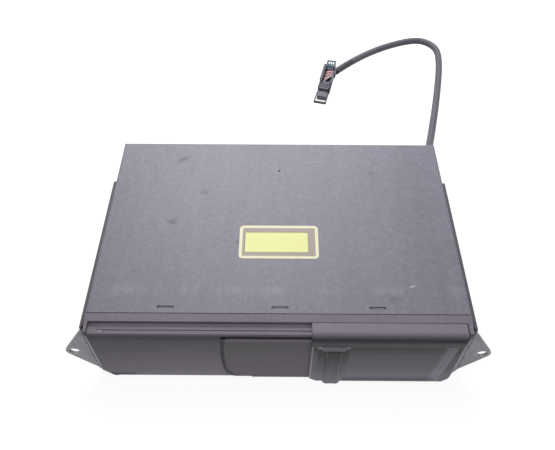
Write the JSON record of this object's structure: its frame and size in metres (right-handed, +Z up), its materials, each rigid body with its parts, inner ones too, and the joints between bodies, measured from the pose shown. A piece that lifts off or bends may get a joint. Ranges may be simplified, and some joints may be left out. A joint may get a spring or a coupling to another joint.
{
  "type": "car cd changer",
  "caption": "Boxed disc changer for a car: sliding front door, ejecting magazine of trays, lifting playback deck, two ear brackets and a fixed cable with a lever-locked plug.",
  "frame": {"origin": "under the middle of the case, brackets and door, on the surface it stands on", "axes": "+X to the right seen from the front, along the width; +Y from the door to the rear wall; +Z up"},
  "size_m": [0.3281, 0.4213, 0.0652],
  "materials": {
    "satin_black_paint": "satin",
    "black_plastic": "fine grain",
    "door_plastic": "satin",
    "bracket_paint": "satin",
    "zinc_steel": "zinc plated",
    "black_screw": "black zinc",
    "bright_steel": "ground",
    "grey_plastic": "moulded",
    "white_plastic": "moulded",
    "black_rubber": "matte",
    "cable_rubber": "matte",
    "copper_board": "solder mask",
    "chip_epoxy": "moulded",
    "aluminium_can": "satin",
    "lens_glass": "clear",
    "terminal_tin": "tinned",
    "wire_insulation": "gloss",
    "label_paper": "film"
  },
  "bodies": {
    "case": {"blank_label": "label_paper", "board_capacitors": "aluminium_can", "board_chips": "chip_epoxy", "board_sockets": "white_plastic", "bottom_chassis": "zinc_steel", "bracket_screws": "black_screw", "button_fascia": "black_plastic", "cable_grommet": "black_rubber", "control_board": "copper_board", "cover_screws": "black_screw", "frame_dampers": "black_rubber", "front_bezel": "black_plastic", "gear_bracket": "zinc_steel", "left_bracket": "bracket_paint", "lift_motor": "aluminium_can", "magazine_bay": "zinc_steel", "mechanism_frame": "zinc_steel", "plug_housing": "black_plastic", "plug_terminals": "terminal_tin", "plug_wires": "wire_insulation", "right_bracket": "bracket_paint", "signal_cable": "cable_rubber", "top_cover": "satin_black_paint"},
    "door": {"outer_door": "door_plastic"},
    "leaf": {"inner_leaf": "black_plastic"},
    "button": {"eject_button": "grey_plastic", "eject_bar": "zinc_steel"},
    "kicker": {"kick_lever": "zinc_steel"},
    "magazine": {"magazine_case": "black_plastic"},
    "slider": {"lift_slider": "zinc_steel"},
    "motor_pinion": {"motor_pinion": "white_plastic"},
    "middle_gear": {"middle_gear": "white_plastic"},
    "rack_gear": {"rack_gear": "white_plastic"},
    "deck": {"lift_deck": "zinc_steel", "guide_rod": "bright_steel", "sled_motor": "aluminium_can", "spindle_motor": "aluminium_can", "clamp_pin": "bright_steel"},
    "pickup": {"optical_pickup": "grey_plastic", "pickup_lens": "lens_glass"},
    "lead_screw": {"lead_screw": "bright_steel"},
    "turntable": {"turntable": "black_plastic"},
    "clamp": {"clamp_arm": "zinc_steel"},
    "puck": {"clamp_puck": "white_plastic"},
    "plug_lever": {"plug_lever": "black_plastic"},
    "tray_1": {"tray_1": "grey_plastic"},
    "tray_2": {"tray_2": "grey_plastic"},
    "tray_3": {"tray_3": "grey_plastic"},
    "tray_4": {"tray_4": "grey_plastic"},
    "tray_5": {"tray_5": "grey_plastic"},
    "tray_6": {"tray_6": "grey_plastic"}
  },
  "joints": [
    {"name": "door_slide", "type": "slide", "parent": "case", "child": "door", "axis": [-1, 0, 0], "range_m": [0, 0.137]},
    {"name": "leaf_slide", "type": "slide", "parent": "case", "child": "leaf", "axis": [-1, 0, 0], "range_m": [0, 0.076]},
    {"name": "eject_press", "type": "slide", "parent": "case", "child": "button", "axis": [0, -1, 0], "range_m": [-0.004, 0], "stiffness_N_per_m": 300},
    {"name": "magazine_eject", "type": "slide", "parent": "case", "child": "magazine", "axis": [0, -1, 0], "range_m": [0, 0.014]},
    {"name": "kicker_turn", "type": "hinge", "parent": "case", "child": "kicker", "pos_m": [0.0039, 0.0655, 0.006], "axis": [0, 0, -1], "range_deg": [0, 19.19]},
    {"name": "tray_1_slide", "type": "slide", "parent": "magazine", "child": "tray_1", "axis": [-1, 0, 0], "range_m": [0, 0.112]},
    {"name": "tray_2_slide", "type": "slide", "parent": "magazine", "child": "tray_2", "axis": [-1, 0, 0], "range_m": [0, 0.112]},
    {"name": "tray_3_slide", "type": "slide", "parent": "magazine", "child": "tray_3", "axis": [-1, 0, 0], "range_m": [0, 0.112]},
    {"name": "tray_4_slide", "type": "slide", "parent": "magazine", "child": "tray_4", "axis": [-1, 0, 0], "range_m": [0, 0.112]},
    {"name": "tray_5_slide", "type": "slide", "parent": "magazine", "child": "tray_5", "axis": [-1, 0, 0], "range_m": [0, 0.112]},
    {"name": "tray_6_slide", "type": "slide", "parent": "magazine", "child": "tray_6", "axis": [-1, 0, 0], "range_m": [0, 0.112]},
    {"name": "deck_lift", "type": "slide", "parent": "case", "child": "deck", "axis": [0, 0, -1], "range_m": [-0.0325, 0]},
    {"name": "slider_shift", "type": "slide", "parent": "case", "child": "slider", "axis": [-1, 0, 0], "range_m": [-0.0325, 0]},
    {"name": "rack_gear_turn", "type": "hinge", "parent": "case", "child": "rack_gear", "pos_m": [-0.07, 0.068, 0.05072], "axis": [0, 1, 0], "range_deg": [-465.54, 0]},
    {"name": "middle_gear_turn", "type": "hinge", "parent": "case", "child": "middle_gear", "pos_m": [-0.05695, 0.068, 0.04463], "axis": [0, -1, 0], "range_deg": [-1210.38, 0]},
    {"name": "motor_pinion_turn", "type": "hinge", "parent": "case", "child": "motor_pinion", "pos_m": [-0.05202, 0.068, 0.0311], "axis": [0, 1, 0], "range_deg": [-3146.98, 0]},
    {"name": "pickup_slide", "type": "slide", "parent": "deck", "child": "pickup", "axis": [-1, 0, 0], "range_m": [0, 0.032]},
    {"name": "lead_screw_turn", "type": "hinge", "parent": "deck", "child": "lead_screw", "pos_m": [-0.0773, -0.0218, 0.0086], "axis": [1, 0, 0], "range_deg": [0, 3840.01]},
    {"name": "turntable_spin", "type": "hinge", "parent": "deck", "child": "turntable", "pos_m": [-0.0543, 0.0022, 0.0108], "axis": [0, 0, 1], "continuous": true},
    {"name": "clamp_press", "type": "hinge", "parent": "deck", "child": "clamp", "pos_m": [-0.1193, 0.0022, 0.0208], "axis": [0, 1, 0], "range_deg": [0, 1.2]},
    {"name": "puck_spin", "type": "hinge", "parent": "clamp", "child": "puck", "pos_m": [-0.0543, 0.0022, 0.0208], "axis": [0, 0, 1], "continuous": true},
    {"name": "plug_lever_turn", "type": "hinge", "parent": "case", "child": "plug_lever", "pos_m": [0.04443, 0.22625, 0.0062], "axis": [-0.9724, 0.2334, 0], "range_deg": [0, 75]}
  ],
  "couplings": [
    {"joint": "leaf_slide", "follows": "door_slide", "ratio": 0.55474},
    {"joint": "magazine_eject", "follows": "eject_press", "ratio": -3.5},
    {"joint": "kicker_turn", "follows": "eject_press", "rad_per_m": -83.724},
    {"joint": "slider_shift", "follows": "deck_lift", "ratio": 1},
    {"joint": "rack_gear_turn", "follows": "deck_lift", "rad_per_m": 250},
    {"joint": "middle_gear_turn", "follows": "deck_lift", "rad_per_m": 650},
    {"joint": "motor_pinion_turn", "follows": "deck_lift", "rad_per_m": 1690},
    {"joint": "lead_screw_turn", "follows": "pickup_slide", "rad_per_m": 2094.4}
  ]
}
